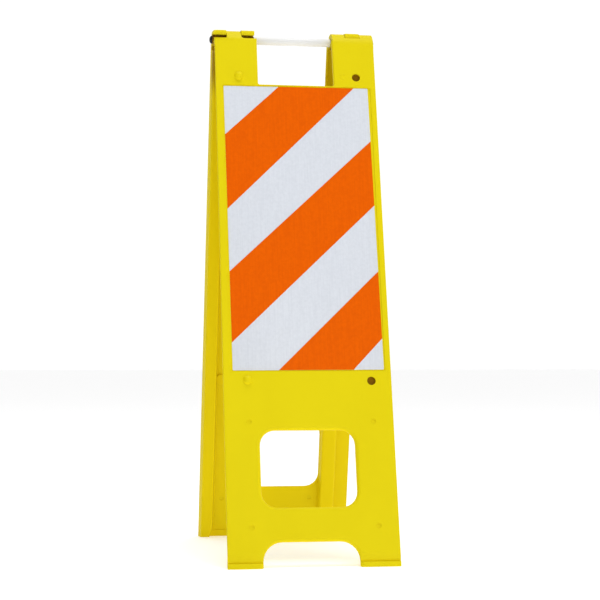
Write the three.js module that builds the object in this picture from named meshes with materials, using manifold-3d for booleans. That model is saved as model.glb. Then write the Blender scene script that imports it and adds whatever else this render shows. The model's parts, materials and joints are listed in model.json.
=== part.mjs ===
// Folding A-frame traffic barrier: two identical yellow mouldings on one hinge rod, with a striped
// reflective sheet on each outer face and a tube handle between the legs. Millimetres, +Z up.
// X runs along the hinge rod and the front face looks towards -Y. The origin is on the floor, under
// the middle of the rod.
import * as THREE from 'three';
import { mergeVertices } from 'three/addons/utils/BufferGeometryUtils.js';
import Module from 'manifold-3d';

const wasm = await Module();
wasm.setup();

// Each half is drawn folded shut. x runs along the rod, up is the height over the rod's axis, so
// what lies under the rod has a negative up, and out is the distance from the hinge plane towards
// the outer face.

// Whole panel
const panelWidth = 339;
const panelShift = 1.05; // panel's centreline from the hinge's middle
const panelLength = 1118; // rod axis to sole, along the outer face
const faceOut = 28.3; // outer face from the hinge plane
const planeGap = 0.5; // inner rims from the hinge plane
const skin = 4.5;
const edgeRound = 2.5;
const splay = THREE.MathUtils.degToRad(14.25); // lean of each half in use

// Two full-depth hollow channels stiffen the inner side. The right one runs along the panel's edge and
// the left one along the openings, so that two of the same moulding nest when folded.
const rightChannelWidth = 33;
const leftFlange = 31.1; // panel's left edge to the left channel
const channelDraft = 3.5;
const channelLift = 2; // their ends, over the sole
const channelCurve = 34; // length in which the right one draws in to its foot
const channelInset = 6;
const rimRound = 4;
const wall = 4;
const drainLength = 14;
const drainWidth = 9;

// Grip gap between the legs, over the top crossbar
const gripWidth = 160;
const gripDepth = 111.5;
const gripRound = 4;
const gripCorner = 5;
const sillRoundShare = 0.25; // the crossbar's edge, as a share of the legs' edges

// Window and foot arch, measured up from the sole
const leftLegWidth = 70; // panel's left edge to the openings
const rightLegWidth = 79.8;
const windowSill = 118.8;
const windowHeight = 152.5;
const windowCorner = 30;
const archHeight = 51.5;
const archCorner = 38;
const openingRound = 7; // their outer edge

// Lip round the grip gap, the window and the arch, on the inner side
const lipWidth = 4;
const lipHeight = 5;

// Foot
const padHeight = 9.5; // sole to groove
const grooveHeight = 5;
const grooveDepth = 5;
const grooveFloorShare = 0.55; // of the groove's height, up from its lower edge
const slopeLength = 15; // face running in above the groove
const slopeDepth = 3;
const rearGrooveOffset = 2; // over the front groove
const rearGrooveHeight = 3;
const rearGrooveDepth = 1.5;

// Sheet pocket, sheet and stripe films
const sheetWidth = 304.8;
const sheetLength = 609.6;
const sheetThickness = 0.6;
const sheetCorner = 2;
const sheetShift = 1.1; // sheet centre from the panel's centreline
const sheetSkew = THREE.MathUtils.degToRad(0.31);
const filmThickness = 0.4;
const seatGap = 0.3;
const pocketDepth = 2;
const pocketSideMargin = 4.3;
const pocketEndMargin = 2.4;
const pocketCorner = 4;
const pocketBorder = 2; // crossbar edge to pocket

// Stacking domes, the sockets they enter, and the moulding dimples
const domeInset = 48.8; // from the panel's left edge
const domeRadius = 9.2;
const domeHeight = 6.5;
const upperDomeDrop = 93.7; // from the rod's axis
const lowerDomeDrop = 18; // from the sheet pocket's end
const socketInset = 41.2; // from the panel's right edge
const socketRadius = 8.6;
const socketDepth = 7;
const socketWall = 2.5;
const upperSocketDrop = 90.9;
const lowerSocketDrop = 20.1;
const dimpleRadius = 5;
const dimpleDepth = 1.5;
const dimpleOffset = 16; // over the window's top
const dimpleRise = 80; // over the sole
const innerDimpleRise = 91; // over the sole, on the inner side
const leftInnerDimpleInset = 87.5; // from the panel's left edge
const rightInnerDimpleInset = 50.8;

// Hinge
const rodRadius = 4.75;
const boreGap = 0.5;
const hingeGap = 1; // radial, eye to the other half
const sideGap = 0.5; // knuckle to knuckle
const crownTop = 21.7; // over the rod's axis
const crownFlat = 3; // from the nose's round to the crown's
const noseReach = 17.8; // each knuckle's nose, past the hinge plane
const noseUp = 11.9; // its underside, over the rod's axis
const noseRound = 5.6;
const noseCorner = 1; // upper corners of the outer and inner noses
const middleNoseCorner = 3;
const knuckleDrop = 22; // rod's axis down to the knuckles' roots
const headCorner = 8;
const shoulderDrop = 6.3; // rod's axis down to the shoulders
const shoulderRound = 1.5;
const knuckleInset = 2; // inner knuckles from the legs' inner edges
const flareRadius = 5; // fillet from the middle knuckle into its shoulder
const stopGap = 0.4; // middle nose to its landing, fully open
const knuckleShares = [0.305, 0.6536]; // splits of the leg's width, from the hinge's end

// Handle tube and push caps
const tubeRadius = 8.5;
const tubeWall = 3;
const tubeEndGap = 0.7;
const capRadius = 8.5;
const capHeight = 5.6;
const capRim = 1.4;
const capWall = 1.6;
const capGap = 0.3;

// Stripe films as shares of the sheet: across from its left edge, down from its top edge
const upperStripeShares = [[0, 0.1775], [0.378, 0], [0.902, 0], [0, 0.444]];
const middleStripeShares = [[0, 0.663], [1, 0.1955], [1, 0.4285], [0, 0.906]];
const lowerStripeShares = [[0.3025, 1], [1, 0.662], [1, 0.8945], [0.798, 1]];

// One overrun for every cut
const over = 12;

// Steps of curves
const cornerSteps = 7;
const roundSteps = 4;
const crownSteps = 24;
const circleSteps = 28;
const domeSteps = 4;

// What follows from the sizes above
const quarter = Math.PI / 2;
const halfWidth = panelWidth / 2;
const gripHalf = gripWidth / 2;
const rightChannelInner = halfWidth - rightChannelWidth;
const leftChannelOuter = halfWidth - leftFlange;
const openingLeft = halfWidth - leftLegWidth;
const openingRight = halfWidth - rightLegWidth;
const innerDimplePlaces = [leftInnerDimpleInset - halfWidth, halfWidth - rightInnerDimpleInset];
const skinIn = faceOut - skin;
const windowBottom = windowSill - panelLength;
const windowTop = windowBottom + windowHeight;
const archTop = archHeight - panelLength;
const pocketTop = -gripDepth - pocketBorder;
const pocketBottom = pocketTop - sheetLength - 2 * pocketEndMargin;
const grooveBottom = padHeight - panelLength;
const grooveTop = grooveBottom + grooveHeight;
const slopeTop = grooveTop + slopeLength;
const domeX = domeInset - halfWidth;
const socketX = halfWidth - socketInset;
const lipIn = skinIn - lipHeight;
const footIn = skinIn - slopeDepth; // inner side of the thicker foot
const eyeRadius = rodRadius + boreGap + wall;
const clearRadius = eyeRadius + hingeGap;
const shelfBottom = -clearRadius - wall;
const noseOut = noseRound - noseReach; // centre of the nose's round
const crownOut = noseOut + crownFlat; // centre of the arc that rolls the outer face back
const crownRadius = faceOut - crownOut;
const crownUp = crownTop - crownRadius;
const rodHeight = panelLength * Math.cos(splay) - faceOut * Math.sin(splay);
const hingeHalf = halfWidth + panelShift;
const capSeat = hingeHalf + capGap;
const rodHalf = capSeat + capHeight - capWall - capGap;
const beyond = halfWidth + over;

// The outer and inner knuckles stand on the right leg and the middle one on the left leg, so that
// two of the same moulding mesh. The splits are measured from the hinge's middle.
const splits = knuckleShares.map((share) => halfWidth - share * (halfWidth - gripHalf));
const outerKnuckle = [splits[0] + sideGap / 2 - panelShift, halfWidth];
const innerKnuckle = [gripHalf + knuckleInset, splits[1] - sideGap / 2 - panelShift];
const middleKnuckle = [sideGap / 2 - splits[0] - panelShift, -sideGap / 2 - splits[1] - panelShift];
const landing = [innerKnuckle[1], outerKnuckle[0]];

function toSolid(geometry) {
  geometry.deleteAttribute('normal');
  geometry.deleteAttribute('uv');
  const merged = mergeVertices(geometry);
  return new wasm.Manifold(new wasm.Mesh({
    numProp: 3,
    vertProperties: Float32Array.from(merged.attributes.position.array),
    triVerts: Uint32Array.from(merged.index.array),
  }));
}

function toGeometry(solid) {
  const mesh = solid.getMesh();
  const geometry = new THREE.BufferGeometry();
  const positions = Float32Array.from(mesh.vertProperties);
  geometry.setAttribute('position', new THREE.BufferAttribute(positions, 3));
  geometry.setIndex(new THREE.BufferAttribute(Uint32Array.from(mesh.triVerts), 1));
  geometry.computeVertexNormals();
  return geometry;
}

function union(solids) {
  return solids.reduce((sum, solid) => sum.add(solid));
}

// A closed solid through a row of rings, each a level [out, offset] of one outline
function stack(outline, levels) {
  const rings = levels.map(([out, offset]) => outline(offset).map((p) => [p.x, -out, p.y]));
  const count = rings[0].length;
  const index = [];
  for (let level = 0; level + 1 < rings.length; level += 1) {
    for (let i = 0; i < count; i += 1) {
      const a = level * count + i;
      const b = level * count + ((i + 1) % count);
      index.push(a, b, b + count, a, b + count, a + count);
    }
  }
  const last = (rings.length - 1) * count;
  for (const [a, b, c] of THREE.ShapeUtils.triangulateShape(outline(levels[0][1]), [])) {
    index.push(c, b, a);
  }
  for (const [a, b, c] of THREE.ShapeUtils.triangulateShape(outline(levels.at(-1)[1]), [])) {
    index.push(last + a, last + b, last + c);
  }
  const geometry = new THREE.BufferGeometry();
  geometry.setAttribute('position', new THREE.Float32BufferAttribute(rings.flat(2), 3));
  geometry.setIndex(index);
  return toSolid(geometry);
}

// One outline, counterclockwise as seen from outside, through a thickness
function slab(points, from, to) {
  return stack(() => points, [[from, 0], [to, 0]]);
}

// A bar along x with a section of [out, up] points
function bar(section, left, right) {
  const shape = new THREE.Shape(section.map(([out, up]) => new THREE.Vector2(-out, up)));
  const geometry = new THREE.ExtrudeGeometry(shape, { depth: right - left, bevelEnabled: false });
  geometry.applyMatrix4(new THREE.Matrix4().makeBasis(
    new THREE.Vector3(0, 1, 0), new THREE.Vector3(0, 0, 1), new THREE.Vector3(1, 0, 0)));
  geometry.translate(left, 0, 0);
  return toSolid(geometry);
}

function box([left, right], [bottom, top], [from, to]) {
  return bar([[from, bottom], [to, bottom], [to, top], [from, top]], left, right);
}

// A round bar on the rod's axis
function axle(radius, left, right) {
  const geometry = new THREE.CylinderGeometry(radius, radius, right - left, circleSteps);
  geometry.rotateZ(quarter);
  geometry.translate((left + right) / 2, 0, 0);
  return toSolid(geometry);
}

// A round plug square to the outer face
function plug(radius, x, up, from, to) {
  const geometry = new THREE.CylinderGeometry(radius, radius, to - from, circleSteps);
  geometry.translate(x, -(from + to) / 2, up);
  return toSolid(geometry);
}

function arc(cx, cy, radius, from, to, steps) {
  const points = [];
  for (let i = 0; i <= steps; i += 1) {
    const angle = from + ((to - from) * i) / steps;
    points.push(new THREE.Vector2(cx + radius * Math.cos(angle), cy + radius * Math.sin(angle)));
  }
  return points;
}

function pairs(points) {
  return points.map((p) => [p.x, p.y]);
}

function roundedRect(left, right, bottom, top, radius) {
  return (offset) => {
    const r = radius + Math.max(offset, -radius / 2);
    const x0 = left - offset + r;
    const x1 = right + offset - r;
    const y0 = bottom - offset + r;
    const y1 = top + offset - r;
    return [
      ...arc(x1, y0, r, -quarter, 0, cornerSteps),
      ...arc(x1, y1, r, 0, quarter, cornerSteps),
      ...arc(x0, y1, r, quarter, 2 * quarter, cornerSteps),
      ...arc(x0, y0, r, 2 * quarter, 3 * quarter, cornerSteps),
    ];
  };
}

const plateOutline = roundedRect(-halfWidth, halfWidth, -panelLength - over, crownTop, headCorner);
const windowOutline = roundedRect(-openingLeft, openingRight, windowBottom, windowTop, windowCorner);
const archOutline = roundedRect(
  -openingLeft, openingRight, archTop - panelWidth, archTop, archCorner);

// The right channel, which draws in towards its foot
function rightChannel(offset) {
  const [left, right] = [rightChannelInner - offset, halfWidth + offset];
  const bottom = channelLift - panelLength - offset;
  const radius = (channelCurve ** 2 + channelInset ** 2) / (2 * channelInset);
  const bend = Math.asin(channelCurve / radius);
  return [
    new THREE.Vector2(right, bottom),
    new THREE.Vector2(right, 0),
    new THREE.Vector2(left, 0),
    ...arc(left + radius, bottom + channelCurve, radius, 2 * quarter, 2 * quarter + bend, cornerSteps),
  ];
}

function leftChannel(offset) {
  const [left, right] = [-leftChannelOuter - offset, offset - openingLeft];
  const bottom = channelLift - panelLength - offset;
  return [
    new THREE.Vector2(left, bottom),
    new THREE.Vector2(right, bottom),
    new THREE.Vector2(right, 0),
    new THREE.Vector2(left, 0),
  ];
}

function gripOutline(offset) {
  const sill = -gripDepth - offset * sillRoundShare;
  return roundedRect(-gripHalf - offset, gripHalf + offset, sill, over * 4, gripCorner)(0);
}

// Levels that round an edge over, growing the outline towards a face
function roundOver(face, radius, towards) {
  const levels = [];
  for (let i = 0; i <= roundSteps; i += 1) {
    const angle = (i / roundSteps) * quarter;
    levels.push([face + towards * radius * (Math.sin(angle) - 1), radius * (1 - Math.cos(angle))]);
  }
  return towards > 0 ? levels : levels.reverse();
}

// A cut right through, with its edge rounded at the outer face
function openingCut(outline) {
  return stack(outline, [
    [planeGap - over, 0],
    ...roundOver(faceOut, openingRound, 1),
    [faceOut + over, openingRound],
  ]);
}

function gripCut() {
  return stack(gripOutline, [
    [-noseReach - over, 0],
    ...roundOver(faceOut, gripRound, 1),
    [faceOut + over, gripRound],
  ]);
}

// Everything inside the outer face, the crown over the knuckles and the head's rounded corners
function envelope() {
  const deep = -panelLength - over;
  const crown = pairs(arc(crownOut, crownUp, crownRadius, 0, quarter, crownSteps));
  const nose = pairs(arc(noseOut, crownTop - noseRound, noseRound, quarter, 2 * quarter, roundSteps));
  const section = [[-noseReach, deep], [faceOut, deep], ...crown, ...nose];
  const corners = slab(plateOutline(0), -noseReach - over, faceOut + over);
  return bar(section, -beyond, beyond).intersect(corners);
}

// The skin with its outer edge rounded, thicker over the sole, where the outer face runs in
function plate() {
  const deep = -panelLength - over;
  const inside = skinIn + edgeRound / 2;
  const face = roundOver(faceOut, edgeRound, 1).map(([out, offset]) => [out, -offset]);
  const foot = [[inside, deep], [inside, slopeTop], [skinIn, slopeTop], [footIn, grooveTop], [footIn, deep]];
  const low = grooveTop + rearGrooveOffset;
  const groove = box([-beyond, beyond], [low, low + rearGrooveHeight], [0, footIn + rearGrooveDepth]);
  return stack(plateOutline, [[skinIn, 0], ...face]).add(bar(foot, -halfWidth, halfWidth)).subtract(groove);
}

// A channel's solid form, with drafted sides and a rounded rim at the hinge plane
function channel(outline) {
  const rim = roundOver(planeGap, rimRound, -1).map(([out, offset]) => [out, -offset - channelDraft]);
  return stack(outline, [...rim, [faceOut - edgeRound, 0]]);
}

// It is hollow, with a drain slot through its sole
function channelCavity(left, right) {
  const depth = [planeGap + wall, skinIn];
  const middle = (left + right) / 2;
  const centre = (depth[0] + depth[1]) / 2;
  return box([left, right], [slopeTop, shelfBottom - wall], depth).add(
    box([middle - drainLength / 2, middle + drainLength / 2], [-panelLength - over, slopeTop + wall],
      [centre - drainWidth / 2, centre + drainWidth / 2]));
}

function lips() {
  const inside = skinIn + edgeRound / 2;
  const [side, sill] = [gripHalf + lipWidth, -gripDepth - lipWidth];
  const grip = roundedRect(-side, side, sill, -shoulderDrop, gripCorner)(0);
  return union([windowOutline(lipWidth), archOutline(lipWidth), grip].map(
    (outline) => slab(outline, lipIn, inside)));
}

// Everything over the shoulders
function shoulderCut() {
  const rise = -shoulderDrop - crownUp;
  const front = Math.sqrt(crownRadius ** 2 - rise ** 2) + crownOut - shoulderRound;
  const low = -shoulderDrop - shoulderRound;
  const edge = pairs(arc(front, low, shoulderRound, quarter, 0, roundSteps));
  const far = faceOut + over;
  const back = planeGap - over;
  const top = crownTop + over;
  const section = [[back, top], [back, -shoulderDrop], ...edge, [far, low], [far, top]];
  return bar(section, -beyond, beyond);
}

// An eye round the rod, rooted in the outer face, with a nose over the hinge plane
function knuckle([left, right], corner) {
  const rounded = slab(roundedRect(left, right, 0, crownTop, corner)(0), -noseReach - over, faceOut);
  return union([
    box([left, right], [-knuckleDrop, crownTop], [planeGap, faceOut]),
    box([left, right], [noseUp, crownTop], [-noseReach, faceOut]).intersect(rounded),
    axle(eyeRadius, left, right),
  ]);
}

// The other half's middle nose lands here when the barrier is fully open
function landingBlock() {
  const open = 2 * splay;
  const tipOut = noseReach * Math.cos(open) + noseUp * Math.sin(open);
  const tipUp = noseUp * Math.cos(open) - noseReach * Math.sin(open);
  return box(landing, [shelfBottom, tipUp - stopGap], [tipOut - wall, faceOut]);
}

// Fillet in the corner of the middle knuckle and its shoulder, clear of the other half's knuckle
function flare() {
  const edge = middleKnuckle[1];
  const base = -shoulderDrop;
  const [near, far] = [edge - flareRadius, edge + flareRadius];
  const curve = arc(far, base + flareRadius, flareRadius, -quarter, -2 * quarter, cornerSteps);
  const outline = [
    new THREE.Vector2(near, base - flareRadius),
    new THREE.Vector2(far, base - flareRadius),
    ...curve,
    new THREE.Vector2(near, base + flareRadius),
  ];
  return slab(outline, planeGap, faceOut).subtract(axle(clearRadius, edge - over, edge + over));
}

function grooveCut() {
  const far = faceOut + over;
  const low = grooveBottom + grooveHeight * grooveFloorShare;
  return bar([[far, slopeTop], [faceOut, slopeTop], [faceOut - slopeDepth, grooveTop],
    [faceOut - grooveDepth, low], [faceOut, grooveBottom], [far, grooveBottom]], -beyond, beyond);
}

function dome(up) {
  const crown = arc(0, 0, 1, 0, quarter, domeSteps);
  const geometry = new THREE.LatheGeometry([
    new THREE.Vector2(0, -skin / 2),
    new THREE.Vector2(domeRadius, -skin / 2),
    ...crown.map((p) => new THREE.Vector2(p.x * domeRadius, p.y * domeHeight)),
  ], circleSteps);
  geometry.rotateX(2 * quarter);
  geometry.translate(domeX, -faceOut, up);
  return toSolid(geometry);
}

// Plugs where the sockets are: their holes, or the larger bosses that hold them
function socketPlugs(radius, from, to) {
  return [-upperSocketDrop, pocketBottom - lowerSocketDrop].map(
    (up) => plug(radius, socketX, up, from, to));
}

function dimples() {
  const inner = innerDimplePlaces.map((x) => plug(
    dimpleRadius, x, innerDimpleRise - panelLength, skinIn - over, skinIn + dimpleDepth));
  const outer = [windowTop + dimpleOffset, dimpleRise - panelLength].flatMap((up) => [domeX, socketX].map(
    (x) => plug(dimpleRadius, x, up, faceOut - dimpleDepth, faceOut + over)));
  return [...inner, ...outer];
}

function pocketCut() {
  const half = sheetWidth / 2 + pocketSideMargin;
  const outline = roundedRect(
    sheetShift - half, sheetShift + half, pocketBottom, pocketTop, pocketCorner)(0);
  return slab(outline, faceOut - pocketDepth, faceOut + over);
}

// The floor as a leaning half meets it
function floorCut() {
  const geometry = new THREE.BoxGeometry(2 * panelWidth, panelLength, panelWidth);
  geometry.translate(0, 0, -panelWidth / 2 - rodHeight);
  geometry.rotateX(splay);
  return toSolid(geometry);
}

function halfMoulding() {
  const socketBottom = faceOut - socketDepth;
  const shelf = box([-halfWidth, halfWidth], [shelfBottom, 0], [planeGap, faceOut - edgeRound]);
  const bosses = socketPlugs(socketRadius + socketWall, socketBottom - socketWall, faceOut - edgeRound);
  const body = union([plate(), channel(rightChannel), channel(leftChannel), shelf, lips(), ...bosses]);
  const head = body.subtract(shoulderCut()).subtract(axle(clearRadius, -beyond, beyond));
  const knuckles = [
    knuckle(outerKnuckle, noseCorner), knuckle(innerKnuckle, noseCorner),
    knuckle(middleKnuckle, middleNoseCorner),
  ];
  const outside = union([head, flare(), landingBlock(), ...knuckles]).intersect(envelope());
  const domes = [-upperDomeDrop, pocketBottom - lowerDomeDrop].map(dome);
  const cavityWall = channelDraft + wall;
  const cuts = [
    gripCut(), openingCut(windowOutline), openingCut(archOutline),
    channelCavity(rightChannelInner + cavityWall, halfWidth - cavityWall),
    channelCavity(cavityWall - leftChannelOuter, -openingLeft - cavityWall),
    ...socketPlugs(socketRadius, socketBottom, faceOut + over), ...dimples(),
    grooveCut(), pocketCut(), floorCut(), axle(rodRadius + boreGap, -beyond, beyond),
  ];
  return cuts.reduce((left, cut) => left.subtract(cut), union([outside, ...domes]));
}

// From the sheet's own middle to its place in the pocket
function inPocket(point) {
  const turned = point.clone().rotateAround(new THREE.Vector2(), sheetSkew);
  return turned.add(new THREE.Vector2(sheetShift, (pocketTop + pocketBottom) / 2));
}

function whiteSheet() {
  const [x, y] = [sheetWidth / 2, sheetLength / 2];
  const from = faceOut - pocketDepth + seatGap;
  const outline = roundedRect(-x, x, -y, y, sheetCorner)(0);
  return slab(outline.map(inPocket), from, from + sheetThickness);
}

function stripeFilm(shares) {
  const corners = shares.map(([across, down]) => new THREE.Vector2(
    (across - 1 / 2) * sheetWidth, (1 / 2 - down) * sheetLength));
  const outline = THREE.ShapeUtils.isClockWise(corners) ? corners.reverse() : corners;
  const from = faceOut - pocketDepth + sheetThickness + 2 * seatGap;
  return slab(outline.map(inPocket), from, from + filmThickness);
}

function handleTube() {
  const half = innerKnuckle[0] + panelShift - tubeEndGap;
  const bore = axle(tubeRadius - tubeWall, -half - over, half + over);
  return axle(tubeRadius, -half, half).subtract(bore);
}

// Push-on cap with its mouth towards the knuckle
function pushCap(side) {
  const bore = rodRadius + capGap;
  const crown = arc(0, 0, 1, 0, quarter, domeSteps);
  const geometry = new THREE.LatheGeometry([
    new THREE.Vector2(0, capHeight - capWall),
    new THREE.Vector2(bore, capHeight - capWall),
    new THREE.Vector2(bore, 0),
    new THREE.Vector2(capRadius, 0),
    new THREE.Vector2(capRadius, capRim),
    ...crown.slice(1).map((p) => new THREE.Vector2(
      p.x * capRadius, capRim + p.y * (capHeight - capRim))),
  ], circleSteps);
  geometry.rotateZ(-side * quarter);
  geometry.translate(side * capSeat, 0, 0);
  return toSolid(geometry);
}

const looks = {
  yellow: { color: '#e6d619', roughness: 0.45, metalness: 0 },
  sheet: { color: '#dfe3ea', roughness: 0.35, metalness: 0 },
  orange: { color: '#ea6100', roughness: 0.4, metalness: 0 },
  steel: { color: '#9a9c9e', roughness: 0.35, metalness: 1 },
  white: { color: '#f4f4f2', roughness: 0.4, metalness: 0 },
  black: { color: '#161616', roughness: 0.5, metalness: 0 },
};

function piece(name, geometry, look) {
  const mesh = new THREE.Mesh(geometry, new THREE.MeshStandardMaterial(looks[look]));
  mesh.name = name;
  return mesh;
}

const mouldingGeometry = toGeometry(halfMoulding());
const sheetGeometry = toGeometry(whiteSheet());

// One leaning half with its sheet and films, turned about the vertical
function panel(side, turn) {
  const lean = new THREE.Group();
  lean.rotation.x = -splay;
  lean.position.x = panelShift;
  lean.add(piece(`${side}_half`, mouldingGeometry, 'yellow'));
  lean.add(piece(`${side}_white_sheet`, sheetGeometry, 'sheet'));
  const films = { upper: upperStripeShares, middle: middleStripeShares, lower: lowerStripeShares };
  for (const [place, shares] of Object.entries(films)) {
    lean.add(piece(`${side}_orange_stripe_${place}`, toGeometry(stripeFilm(shares)), 'orange'));
  }
  const turned = new THREE.Group();
  turned.rotation.z = turn;
  turned.add(lean);
  return turned;
}

const barrier = new THREE.Group();
const onRod = new THREE.Group();
onRod.position.z = rodHeight;
onRod.add(panel('front', 0));
onRod.add(panel('rear', Math.PI));
onRod.add(piece('hinge_rod', toGeometry(axle(rodRadius, -rodHalf, rodHalf)), 'steel'));
onRod.add(piece('handle_tube', toGeometry(handleTube()), 'white'));
onRod.add(piece('left_push_cap', toGeometry(pushCap(-1)), 'black'));
onRod.add(piece('right_push_cap', toGeometry(pushCap(1)), 'black'));
barrier.add(onRod);

export default barrier;
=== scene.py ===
# %% [markdown]
# # A folding A-frame traffic barrier
# Two identical yellow plastic mouldings lean on each other from one hinge rod. Each carries a
# white reflective sheet with orange films, and a white tube turns on the rod between the legs as a
# handle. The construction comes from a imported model, so this lesson gives every piece its surface:
# soft edges, thin glued sheets, turned parts with clean ends, and a finish for each material.

# %% Load the frame
import json
import math

import bmesh
import bpy
import numpy as np
from mathutils import Matrix, Vector


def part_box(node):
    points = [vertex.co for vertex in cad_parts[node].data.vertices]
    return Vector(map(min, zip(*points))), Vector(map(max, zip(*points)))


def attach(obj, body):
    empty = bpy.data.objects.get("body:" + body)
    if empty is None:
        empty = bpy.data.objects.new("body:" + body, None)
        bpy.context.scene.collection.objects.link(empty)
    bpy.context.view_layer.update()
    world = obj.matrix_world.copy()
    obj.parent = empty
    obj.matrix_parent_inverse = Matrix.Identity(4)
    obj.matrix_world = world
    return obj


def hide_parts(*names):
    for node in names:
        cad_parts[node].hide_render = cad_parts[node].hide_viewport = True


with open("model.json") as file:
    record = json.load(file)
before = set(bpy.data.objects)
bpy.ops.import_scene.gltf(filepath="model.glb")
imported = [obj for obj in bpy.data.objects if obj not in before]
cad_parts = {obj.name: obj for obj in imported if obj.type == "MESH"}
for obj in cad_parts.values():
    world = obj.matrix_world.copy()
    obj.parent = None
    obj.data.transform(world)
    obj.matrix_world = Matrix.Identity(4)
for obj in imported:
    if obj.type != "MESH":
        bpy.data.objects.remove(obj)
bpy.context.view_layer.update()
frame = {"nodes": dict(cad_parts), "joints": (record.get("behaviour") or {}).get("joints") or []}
scene = bpy.context.scene

# %% [markdown]
# The two halves are one moulding used twice: turned half a turn about the vertical, and leaned by
# half of the fold. So it pays to think in the moulding's own directions: x along the rod, y from
# the outer face towards the hinge, z up its length, with the rod at the origin. Its centreline
# stands a millimetre beside the middle of the hinge. One matrix takes these to the room, and its
# inverse brings any point of the room back.

# %% Directions of a leaning half
MM = 0.001
SHIFT = 1.05 * MM
fold = next(joint for joint in frame["joints"] if joint["name"] == "fold_hinge")
rod_height = fold["pos_m"][2]
splay = math.radians(fold["range_deg"][1] / 2)
ON_ROD = Matrix.Translation((0, 0, rod_height))


def leaning(turn):
    faced = ON_ROD @ Matrix.Rotation(turn, 4, "Z")
    return faced @ Matrix.Translation((SHIFT, 0, 0)) @ Matrix.Rotation(-splay, 4, "X")


HALVES = {"front": leaning(0.0), "rear": leaning(math.pi)}
print("splay", round(math.degrees(splay), 2), "rod height", round(rod_height, 4))

# %% [markdown]
# Every piece is made in the same way at the end: its mesh becomes an object at the origin, rides
# on the body that carries it, and stands for the plain solids that it refines.


# %% From a mesh to a piece
def new_piece(name, mesh, body, slot, *nodes):
    piece = bpy.data.objects.new(name, mesh)
    scene.collection.objects.link(piece)
    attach(piece, body)
    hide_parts(*nodes)
    return piece


def to_mesh(bm, name):
    mesh = bpy.data.meshes.new(name)
    bm.to_mesh(mesh)
    bm.free()
    return mesh


# %% [markdown]
# A moulded edge is never knife sharp, and the light that it catches tells the eye how big the
# thing is. The large rounds are in the solid already, and the small ones are added here. A copy of
# the solid is merged, and its flat regions become single faces. Then every edge that folds sharply
# gets a narrow bevel: a wider one where the neighbouring edges leave room for it, and a finer one
# elsewhere. One bevel for all would have to be as narrow as the tightest spot allows. Rims that
# lie just above the sole stay sharp, because the bevel of the sole needs that room.

# %% Soften the edges of a moulding
WELD = 0.02 * MM
FLAT = math.radians(0.4)
SHARP = math.radians(38)
BEVELS = [0.8 * MM, 0.35 * MM]
ROOM_SHARE = 2.1
SOLE_CLEAR = 2 * MM


def merged_copy(node):
    bm = bmesh.new()
    bm.from_mesh(frame["nodes"][node].data)
    bmesh.ops.remove_doubles(bm, verts=bm.verts, dist=WELD)
    bmesh.ops.dissolve_limit(bm, angle_limit=FLAT, verts=bm.verts, edges=bm.edges)
    return bm


def has_room(vert, width):
    just_over_sole = WELD < vert.co.z < SOLE_CLEAR
    shortest = min(edge.calc_length() for edge in vert.link_edges)
    return not just_over_sole and shortest > ROOM_SHARE * width


def soften(bm, width):
    edges = [edge for edge in bm.edges if edge.is_manifold and edge.calc_face_angle() > SHARP
             and has_room(edge.verts[0], width) and has_room(edge.verts[1], width)]
    bmesh.ops.bevel(bm, geom=edges, offset=width, offset_type="OFFSET", segments=2, profile=0.5,
                    affect="EDGES", clamp_overlap=False, material=-1)
    return len(edges)


# %% [markdown]
# A pattern that runs with the panel, such as the streaks of a sheet, has to lean with it. So each
# mesh keeps its points in the moulding's own directions, as an attribute that the materials read.


# %% Remember the own directions
def keep_own_directions(mesh, placed):
    points = np.empty(len(mesh.vertices) * 3)
    mesh.vertices.foreach_get("co", points)
    back = np.array(placed.inverted())
    own = points.reshape(-1, 3) @ back[:3, :3].T + back[:3, 3]
    attribute = mesh.attributes.new("own", "FLOAT_VECTOR", "POINT")
    attribute.data.foreach_set("vector", own.ravel())


# %% [markdown]
# The moulding has one mark that the solid leaves out: the faint ring that a mould insert leaves
# beside the upper socket. It could be a bump in the material, but then it would be missing from
# the mesh. So it is a thin round bead, spun round the ring's middle and sunk by half into the face.

# %% Ring of the mould insert
FACE = -28.3 * MM
RING = Vector((99.8 * MM, FACE, -89.7 * MM))
RING_RADIUS = 6 * MM
RING_BEAD = 0.4 * MM


def mould_ring(placed):
    bm = bmesh.new()
    bead = bmesh.ops.create_circle(bm, segments=8, radius=RING_BEAD)["verts"]
    bmesh.ops.translate(bm, verts=bead, vec=(RING_RADIUS, 0, 0))
    loop = list({edge for vert in bead for edge in vert.link_edges})
    bmesh.ops.spin(bm, geom=bead + loop, axis=(0, 1, 0), cent=(0, 0, 0), angle=math.tau, steps=32,
                   use_merge=True)
    bmesh.ops.remove_doubles(bm, verts=bm.verts, dist=WELD)
    bmesh.ops.recalc_face_normals(bm, faces=bm.faces)
    bmesh.ops.transform(bm, matrix=placed @ Matrix.Translation(RING), verts=bm.verts)
    return to_mesh(bm, "ring")


# %% [markdown]
# Now the two mouldings themselves. Smooth shading rolls over the rounds, folds above the sharp
# angle stay sharp, and weighted normals keep the large faces flat next to their narrow bevels.


# %% The two mouldings
def moulding(side, placed):
    bm = merged_copy(f"{side}_half")
    counts = [soften(bm, width) for width in BEVELS]
    bm.from_mesh(mould_ring(placed))
    for face in bm.faces:
        face.smooth = True
    mesh = to_mesh(bm, f"{side}_moulding")
    mesh.set_sharp_from_angle(angle=SHARP)
    keep_own_directions(mesh, placed)
    piece = new_piece(f"{side}_moulding", mesh, side, "yellow_moulding", f"{side}_half")
    even = piece.modifiers.new("Even shading", "WEIGHTED_NORMAL")
    even.keep_sharp = True
    print(piece.name, "bevelled edges", counts, "faces", len(mesh.polygons))
    return piece


yellow_pieces = [moulding(side, placed) for side, placed in HALVES.items()]

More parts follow.
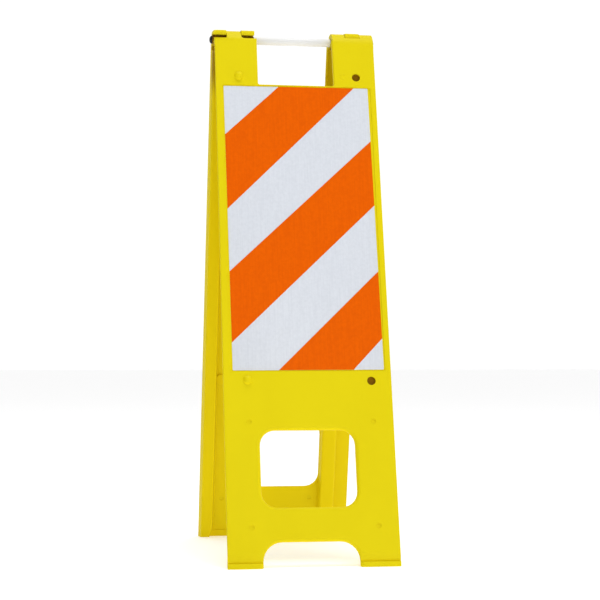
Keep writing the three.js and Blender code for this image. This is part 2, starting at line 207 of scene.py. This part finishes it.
# %% [markdown]
# The reflective sheet is a thin laminate glued to the floor of its pocket, and the orange films
# are glued on it. They could be colours on one plane, but real films have an edge that catches the
# light. The plain solids hang a hair above their seats, so each copy moves down by its gap and
# gets a softened cut edge.

# %% Sheets and films
SHEET_GAP = 0.3 * MM
FILM_GAP = 0.65 * MM
CUT_EDGE = 0.12 * MM
STRIPES = ("upper", "middle", "lower")


def glued(node, name, side, slot, gap):
    placed = HALVES[side]
    bm = merged_copy(node)
    inwards = placed.to_3x3() @ Vector((0, gap, 0))
    bmesh.ops.translate(bm, verts=bm.verts, vec=inwards)
    rim = [edge for edge in bm.edges if edge.calc_face_angle() > SHARP]
    bmesh.ops.bevel(bm, geom=rim, offset=CUT_EDGE, offset_type="OFFSET", segments=1, profile=0.5,
                    affect="EDGES", clamp_overlap=True, material=-1)
    mesh = to_mesh(bm, name)
    keep_own_directions(mesh, placed)
    return new_piece(name, mesh, side, slot, node)


white_pieces = [
    glued(f"{side}_white_sheet", f"{side}_reflective_sheet", side, "white_sheet", SHEET_GAP)
    for side in HALVES]
orange_pieces = [
    glued(f"{side}_orange_stripe_{stripe}", f"{side}_film_{stripe}", side, "orange_film", FILM_GAP)
    for side in HALVES for stripe in STRIPES]
print("sheets", len(white_pieces), "films", len(orange_pieces))

# %% [markdown]
# Rod, tube and caps are turned shapes. A plain cylinder would do from afar, but real turned and
# cut ends have a chamfer or a round. So each is a profile of points, in millimetres along the rod
# and away from it, that is spun once round.


# %% Spin a profile round the rod
def turned(name, profile, steps, closed):
    bm = bmesh.new()
    verts = [bm.verts.new((along * MM, 0, away * MM)) for along, away in profile]
    ends = zip(verts, verts[1:] + verts[:1]) if closed else zip(verts, verts[1:])
    edges = [bm.edges.new(pair) for pair in ends]
    bmesh.ops.spin(bm, geom=verts + edges, axis=(1, 0, 0), cent=(0, 0, 0), angle=math.tau,
                   steps=steps, use_merge=True)
    bmesh.ops.remove_doubles(bm, verts=bm.verts, dist=WELD)
    bmesh.ops.recalc_face_normals(bm, faces=bm.faces)
    bmesh.ops.transform(bm, matrix=ON_ROD, verts=bm.verts)
    for face in bm.faces:
        face.smooth = True
    mesh = to_mesh(bm, name)
    mesh.set_sharp_from_angle(angle=SHARP)
    return mesh


# %% Hinge rod
ROD_RADIUS, ROD_CHAMFER = 4.75, 0.6
ROD_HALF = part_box("hinge_rod")[1][0] / MM

rod_profile = [(-ROD_HALF, 0), (-ROD_HALF, ROD_RADIUS - ROD_CHAMFER),
               (ROD_CHAMFER - ROD_HALF, ROD_RADIUS), (ROD_HALF - ROD_CHAMFER, ROD_RADIUS),
               (ROD_HALF, ROD_RADIUS - ROD_CHAMFER), (ROD_HALF, 0)]
rod = new_piece("rod", turned("rod", rod_profile, 48, False), "front", "rod_steel", "hinge_rod")
print("rod", round(2 * ROD_HALF, 1), "mm long")

# %% Handle tube
TUBE_RADIUS, TUBE_BORE = 8.5, 5.5
TUBE_ROUND, TUBE_EASE, BORE_CHAMFER = 0.7, 0.2, 0.5
TUBE_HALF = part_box("handle_tube")[1][0] / MM

tube_profile = []
for side in (-1, 1):
    end = [(TUBE_HALF - TUBE_ROUND, TUBE_RADIUS), (TUBE_HALF - TUBE_EASE, TUBE_RADIUS - TUBE_EASE),
           (TUBE_HALF, TUBE_RADIUS - TUBE_ROUND), (TUBE_HALF, TUBE_BORE + BORE_CHAMFER),
           (TUBE_HALF - BORE_CHAMFER, TUBE_BORE)]
    tube_profile += [(side * along, away) for along, away in end[::-side]]
tube = new_piece("tube", turned("tube", tube_profile, 72, True), "handle", "white_tube",
                 "handle_tube")
print("tube", round(2 * TUBE_HALF, 1), "mm long")

# %% [markdown]
# A push cap is pressed onto each end of the rod, so that it can't slide out of the knuckles. Bore,
# rim, flange and domed crown are one profile, and the left cap is the mirror image of the right.

# %% Push caps
HEAD_HALF = 169.5
CAP_GAP = 0.3
CAP_BORE = 5.05
CAP_PROFILE = [(4.0, 0), (4.0, CAP_BORE - 0.4), (3.6, CAP_BORE), (0.3, CAP_BORE),
               (0, CAP_BORE + 0.3), (0, 8.2), (0.3, 8.5), (1.1, 8.5), (1.4, 8.3), (1.6, 7.9),
               (2.6, 7.6), (3.7, 6.8), (4.6, 5.4), (5.2, 3.7), (5.5, 1.9), (5.6, 0)]
seat = HEAD_HALF + SHIFT / MM + CAP_GAP
black_pieces = []
for side, name in ((-1, "left"), (1, "right")):
    profile = [(side * (seat + along), away) for along, away in CAP_PROFILE]
    mesh = turned(f"{name}_cap", profile, 40, False)
    black_pieces.append(new_piece(f"{name}_cap", mesh, "front", "black_cap", f"{name}_push_cap"))
print("caps", len(black_pieces), "seated", round(seat, 2), "mm from the middle")

# %% [markdown]
# A finish is a formula: this much stain where the noise is high, less gloss near the floor.
# Written with node calls, such a formula is hard to read. A small class wraps a socket and lets
# Python's own signs add the Math nodes, and one method adds every other node. Colours never go
# through Math nodes, which would turn them grey, but through Mix.


# %% Formulas on sockets
class Amount:
    """A number that varies over a surface. Each sign used on it adds one Math node."""

    def __init__(self, graph, socket):
        self.graph = graph
        self.socket = socket

    def math(self, operation, first, second):
        return self.graph.node("ShaderNodeMath", {"operation": operation}, {0: first, 1: second})

    def __add__(self, other):
        return self.math("ADD", self, other)

    def __rsub__(self, other):
        return self.math("SUBTRACT", other, self)

    def __mul__(self, other):
        return self.math("MULTIPLY", self, other)

    __radd__ = __add__
    __rmul__ = __mul__


# %% Nodes of a material or of the room
class Graph:
    """A node tree. fill() sets or links sockets, and node() adds any kind of node."""

    def __init__(self, tree):
        self.tree = tree

    def fill(self, node, inputs):
        for key, value in inputs.items():
            if isinstance(value, Amount):
                self.tree.links.new(value.socket, node.inputs[key])
            else:
                node.inputs[key].default_value = value

    def node(self, kind, settings, inputs, output=0):
        node = self.tree.nodes.new(kind)
        for name, value in settings.items():
            setattr(node, name, value)
        self.fill(node, inputs)
        return Amount(self, node.outputs[output])


class Finish(Graph):
    """One material. What is the same all over is set on its shader straight away."""

    def __init__(self, name, **constants):
        self.material = bpy.data.materials.new(name)
        self.material.use_nodes = True
        super().__init__(self.material.node_tree)
        self.shader = self.tree.nodes["Principled BSDF"]
        self.surface(**constants)

    def surface(self, **inputs):
        self.fill(self.shader, {name.replace("_", " "): value for name, value in inputs.items()})

    def wear(self, pieces):
        for piece in pieces:
            piece.data.materials.clear()
            piece.data.materials.append(self.material)


# %% [markdown]
# A few patterns are enough for all the finishes: noise in some directions and scale, a smooth step
# from one value to another, a mix of two colours, and a bump. Scales are in features per metre, so
# noise at 1000 has grains of about a millimetre.


# %% Patterns shared by the finishes
def room(finish):
    return finish.node("ShaderNodeTexCoord", {}, {}, "Object")


def own(finish):
    return finish.node("ShaderNodeAttribute", {"attribute_name": "own"}, {}, "Vector")


def stretched(finish, place, scale):
    return finish.node("ShaderNodeMapping", {"vector_type": "POINT"},
                       {"Vector": place, "Scale": scale})


def noise(finish, place, scale, detail=2.0, roughness=0.5):
    return finish.node("ShaderNodeTexNoise", {"noise_dimensions": "3D"},
                       {"Vector": place, "Scale": scale, "Detail": detail, "Roughness": roughness})


def rise(finish, value, low, high):
    return finish.node("ShaderNodeMapRange", {"interpolation_type": "SMOOTHSTEP"},
                       {"Value": value, "From Min": low, "From Max": high})


def blend(finish, amount, first, second):
    return finish.node("ShaderNodeMix", {"data_type": "RGBA"}, {0: amount, 6: first, 7: second}, 2)


def bumped(finish, height, depth):
    return finish.node("ShaderNodeBump", {}, {"Strength": 1.0, "Distance": depth, "Height": height})


# %% [markdown]
# The mouldings are polyethylene, coloured right through: a satin skin with a fine etched grain,
# pale and deep yellow drifting into each other where the melt flowed, and a trace of dust towards
# the soles. The gloss is weak, so the yellow stays pure even where it reflects a white room.

# %% Yellow moulding: grain, drift, dust and scuffs
PALE_YELLOW = (0.745, 0.618, 0.0030, 1)
DEEP_YELLOW = (0.725, 0.595, 0.0025, 1)
DUSTY_YELLOW = (0.50, 0.40, 0.03, 1)
MELT_FLOW = (9, 9, 3)
SCUFF_MARKS = (60, 60, 400)
GRAINS = 1100
DUST_CLOUDS = 70
NEAR_SOLE = (-1.06, -1.118)

yellow = Finish("yellow moulding", Specular_IOR_Level=0.07)
place = room(yellow)
flow = noise(yellow, stretched(yellow, own(yellow), MELT_FLOW), 1.0, 3.0)
grain = noise(yellow, place, GRAINS)
scuff = noise(yellow, stretched(yellow, own(yellow), SCUFF_MARKS), 1.0, 4.0)
scuff = rise(yellow, scuff, 0.62, 0.74)
height = yellow.node("ShaderNodeSeparateXYZ", {}, {"Vector": own(yellow)}, "Z")
depth = yellow.node("ShaderNodeSeparateXYZ", {}, {"Vector": own(yellow)}, "Y")
near_floor = rise(yellow, height, *NEAR_SOLE)
dust = near_floor * rise(yellow, noise(yellow, place, DUST_CLOUDS, 4.0), 0.35, 0.7)
colour = blend(yellow, rise(yellow, flow, 0.3, 0.75), PALE_YELLOW, DEEP_YELLOW)
print("skin nodes", len(yellow.tree.nodes))

# %% [markdown]
# Light reaches the surfaces behind the outer face by way of other yellow walls, and each bounce
# takes more of its blue and green, so they look warmer. The slots under the noses of the knuckles,
# the wedge between the two heads and the bottoms of the sockets are deep enough to look brown. A
# render with few bounces misses most of this, so the material helps, by depth and height on the
# moulding and not by where the camera stands. Both are in millimetres from the rod.

# %% Yellow moulding: warmer behind the face
INNER_YELLOW = (0.80, 0.63, 0.001, 1)
DEEP_BROWN = (0.26, 0.125, 0.001, 1)
BEHIND_FACE, BELOW_CROWN = (-27.0, -22.0), (-8, -24)
IN_SLOT, OVER_EYE, UNDER_NOSE = (-3, 2), (-12, -8), (12.8, 11.9)
IN_WEDGE, ABOVE_SHEET, BELOW_HEAD = (-24, -4), (-130, -60), (-8, -16)
WEDGE_SHARE = 0.8


def between(value, ends):
    return rise(yellow, value, ends[0] * MM, ends[1] * MM)


inner = between(depth, BEHIND_FACE) * between(height, BELOW_CROWN)
colour = blend(yellow, inner, colour, INNER_YELLOW)
slot = between(depth, IN_SLOT) * between(height, OVER_EYE) * between(height, UNDER_NOSE)
wedge = between(depth, IN_WEDGE) * between(height, ABOVE_SHEET) * between(height, BELOW_HEAD)
colour = blend(yellow, slot + wedge * WEDGE_SHARE, colour, DEEP_BROWN)
print("with depth", len(yellow.tree.nodes))

# %% Yellow moulding: bottoms of the sockets
SOCKETS = [(128.3 * MM, 0, -90.9 * MM), (128.3 * MM, 0, -748.0 * MM)]
SOCKET_RADIUS = 8.6 * MM
SOCKET_EDGE = 1.05
SOCKET_BACK, SOCKET_BOTTOM = (-20, -21), (-27.5, -23.0)

flat = yellow.node("ShaderNodeVectorMath", {"operation": "MULTIPLY"},
                   {0: own(yellow), 1: (1, 0, 1)})
for socket in SOCKETS:
    away = yellow.node("ShaderNodeVectorMath", {"operation": "DISTANCE"}, {0: flat, 1: socket},
                       "Value")
    hole = rise(yellow, away, SOCKET_RADIUS * SOCKET_EDGE, SOCKET_RADIUS)
    hole = hole * between(depth, SOCKET_BACK) * between(depth, SOCKET_BOTTOM)
    colour = blend(yellow, hole, colour, DEEP_BROWN)
yellow.surface(Base_Color=blend(yellow, dust * 0.05 + scuff * 0.02, colour, DUSTY_YELLOW),
               Roughness=0.44 + flow * 0.1 + dust * 0.2 + scuff * 0.1,
               Normal=bumped(yellow, grain + scuff * 0.4, 0.04 * MM))
yellow.wear(yellow_pieces)
print("yellow nodes", len(yellow.tree.nodes))

# %% [markdown]
# Reflective sheeting is a layer of tiny beads or cells under a clear film. From a few metres it
# looks cool white and slightly mottled, with faint streaks along the roll. A fine cell pattern
# gives the sparkle, and the clear film on top gives a smoother gloss than the plastic has.

# %% White sheet
COOL_WHITE = (0.69, 0.72, 0.775, 1)
MILKY_WHITE = (0.615, 0.645, 0.70, 1)
ROLL_STREAKS = (420, 420, 14)
MOTTLES = 160
CELLS = 800


def roll_texture(finish):
    """Mottling with streaks along the roll, and the cells under the clear film."""
    streak = noise(finish, stretched(finish, own(finish), ROLL_STREAKS), 1.0, 3.0)
    mottle = noise(finish, own(finish), MOTTLES, 4.0, 0.6)
    cells = finish.node("ShaderNodeTexVoronoi", {"feature": "DISTANCE_TO_EDGE"},
                        {"Vector": own(finish), "Scale": CELLS})
    return streak * 0.4 + mottle * 0.6, rise(finish, cells, 0.0, 0.25)


white = Finish("white sheet", Specular_IOR_Level=0.25, Coat_Roughness=0.12)
uneven, cells = roll_texture(white)
milky = rise(white, uneven, 0.3, 0.7) * 0.8 + (1 - cells) * 0.2
white.surface(Base_Color=blend(white, milky, COOL_WHITE, MILKY_WHITE),
              Roughness=0.30 + uneven * 0.15,
              Normal=bumped(white, cells * 0.5 + uneven, 0.02 * MM))
white.wear(white_pieces)
print("sheet nodes", len(white.tree.nodes))

# %% [markdown]
# The stripes are orange film laid on the same sheeting, so the texture of the roll shows through
# it, less strongly and with a weaker gloss. The shared helper keeps the two alike.

# %% Orange film
BRIGHT_ORANGE = (0.80, 0.12, 0.0, 1)
DEEP_ORANGE = (0.73, 0.10, 0.0, 1)

orange = Finish("orange film", Specular_IOR_Level=0.04)
uneven, cells = roll_texture(orange)
mottled = rise(orange, uneven, 0.3, 0.7)
orange.surface(Base_Color=blend(orange, mottled, BRIGHT_ORANGE, DEEP_ORANGE),
               Roughness=0.32 + uneven * 0.15,
               Normal=bumped(orange, cells * 0.5 + uneven, 0.015 * MM))
orange.wear(orange_pieces)
print("film nodes", len(orange.tree.nodes))

# %% [markdown]
# The small parts: a drawn steel rod has fine lines along its length, an extruded white tube has
# softer ones and a few hand marks, and the black caps have the even grain of a small moulding.
# Noise that is stretched along the rod gives such lines, with no image and no seam.

# %% Drawn steel of the rod
BRIGHT_STEEL, DULL_STEEL = (0.62, 0.63, 0.64, 1), (0.42, 0.43, 0.45, 1)
DRAWN_LINES = (12, 2600, 2600)

steel = Finish("drawn steel", Metallic=1.0)
lines = noise(steel, stretched(steel, room(steel), DRAWN_LINES), 1.0, 3.0)
steel.surface(Base_Color=blend(steel, lines, BRIGHT_STEEL, DULL_STEEL),
              Roughness=0.26 + lines * 0.2,
              Normal=bumped(steel, lines, 0.01 * MM))
steel.wear([rod])
print("steel nodes", len(steel.tree.nodes))

# %% White plastic of the tube
TUBE_WHITE, HANDLED_WHITE = (0.80, 0.80, 0.795, 1), (0.72, 0.72, 0.71, 1)
EXTRUDED_LINES = (5, 700, 700)
HAND_MARKS = (60, 260, 260)

milk = Finish("white tube", Specular_IOR_Level=0.35)
lines = noise(milk, stretched(milk, room(milk), EXTRUDED_LINES), 1.0)
marks = noise(milk, stretched(milk, room(milk), HAND_MARKS), 1.0, 4.0)
marks = rise(milk, marks, 0.6, 0.75)
milk.surface(Base_Color=blend(milk, lines * 0.5 + marks * 0.3, TUBE_WHITE, HANDLED_WHITE),
             Roughness=0.34 + lines * 0.1 + marks * 0.2,
             Normal=bumped(milk, lines, 0.02 * MM))
milk.wear([tube])
print("tube nodes", len(milk.tree.nodes))

# %% Black plastic of the caps
CAP_BLACK, WORN_BLACK = (0.003, 0.003, 0.0035, 1), (0.010, 0.010, 0.011, 1)
CAP_GRAINS = 1500
CAP_WEAR = 220

black = Finish("black cap", Specular_IOR_Level=0.25)
grain = noise(black, room(black), CAP_GRAINS)
wear = noise(black, room(black), CAP_WEAR, 3.0)
black.surface(Base_Color=blend(black, wear, CAP_BLACK, WORN_BLACK),
              Roughness=0.42 + wear * 0.15,
              Normal=bumped(black, grain, 0.04 * MM))
black.wear(black_pieces)
print("cap nodes", len(black.tree.nodes))

# %% [markdown]
# The photograph is a product shot on a lit white table. So the floor is pale and glows a little,
# which also fills the undersides with light.

# %% Floor
FLOOR_HALF = 60
FLOOR_GLOW = 0.32

floor_bm = bmesh.new()
bmesh.ops.create_grid(floor_bm, x_segments=1, y_segments=1, size=FLOOR_HALF)
floor = bpy.data.objects.new("floor", to_mesh(floor_bm, "floor"))
scene.collection.objects.link(floor)
pale = Finish("pale floor", Roughness=0.8, Specular_IOR_Level=0.1,
              Base_Color=(0.95, 0.95, 0.95, 1), Emission_Color=(1, 1, 1, 1),
              Emission_Strength=FLOOR_GLOW)
pale.wear([floor])
print("floor", 2 * FLOOR_HALF, "m wide")

# %% [markdown]
# The room is white behind the barrier and darker on the photographer's side, most of all to the
# left, as in a studio with one white wall. An even room would light all sides alike, and the
# barrier would look flat. How white it is follows from how far a direction points at the wall.

# %% Light of the room
TOWARDS_WALL = (0.5, 0.85, 0.0)
WALL_EDGE, DARK_EDGE = 0.7, -0.6
DARK_SIDE = 0.25
ROOM_LIGHT = 1.08

world = bpy.data.worlds.new("studio")
world.use_nodes = True
studio = Graph(world.node_tree)
direction = studio.node("ShaderNodeTexCoord", {}, {}, "Generated")
facing = studio.node("ShaderNodeVectorMath", {"operation": "DOT_PRODUCT"},
                     {0: direction, 1: TOWARDS_WALL}, "Value")
shade = studio.node("ShaderNodeMapRange", {}, {"Value": facing, "From Min": WALL_EDGE,
                                               "From Max": DARK_EDGE, "To Min": 1.0,
                                               "To Max": DARK_SIDE})
studio.fill(world.node_tree.nodes["Background"], {"Color": shade, "Strength": ROOM_LIGHT})
scene.world = world
scene.view_settings.view_transform = "Standard"
print("room light", ROOM_LIGHT, "down to", round(ROOM_LIGHT * DARK_SIDE, 2))

# %% [markdown]
# A large soft lamp overhead models the rounds and domes, and a weaker one in front, a little to
# the right, lights the sheet and reaches between the halves. Both are square area lamps, because a
# large lamp throws the soft shadows of a studio.

# %% Lamps
LIT_POINT = Vector((0, 0, 0.5))


def softbox(name, place, size, power):
    light = bpy.data.lights.new(name, "AREA")
    light.shape = "SQUARE"
    light.size = size
    light.energy = power
    lamp = bpy.data.objects.new(name, light)
    scene.collection.objects.link(lamp)
    lamp.location = place
    lamp.rotation_euler = (LIT_POINT - lamp.location).to_track_quat("-Z", "Y").to_euler()
    print(name, power, "W")


softbox("overhead softbox", (0.3, -0.9, 6.5), 2.5, 185)
softbox("front softbox", (0.5, -4.9, 0.9), 2.0, 48)

# %% [markdown]
# The camera stands where the photographer stood: a little to the left, low, and far enough away
# for a long lens. It was solved once from the panel's straight edges, with the usual size of its
# sheet.

# %% Camera
CAMERA_PLACE = (-0.51041, -3.41586, 0.40182)
CAMERA_TILT, CAMERA_TURN = 2.074, -8.785
LENS = 97.897

camera = bpy.data.objects.new("camera", bpy.data.cameras.new("camera"))
scene.collection.objects.link(camera)
camera.location = CAMERA_PLACE
camera.rotation_euler = (math.radians(90 + CAMERA_TILT), 0.0, math.radians(CAMERA_TURN))
camera.data.lens = LENS
scene.camera = camera
print("camera", CAMERA_PLACE, "lens", LENS)
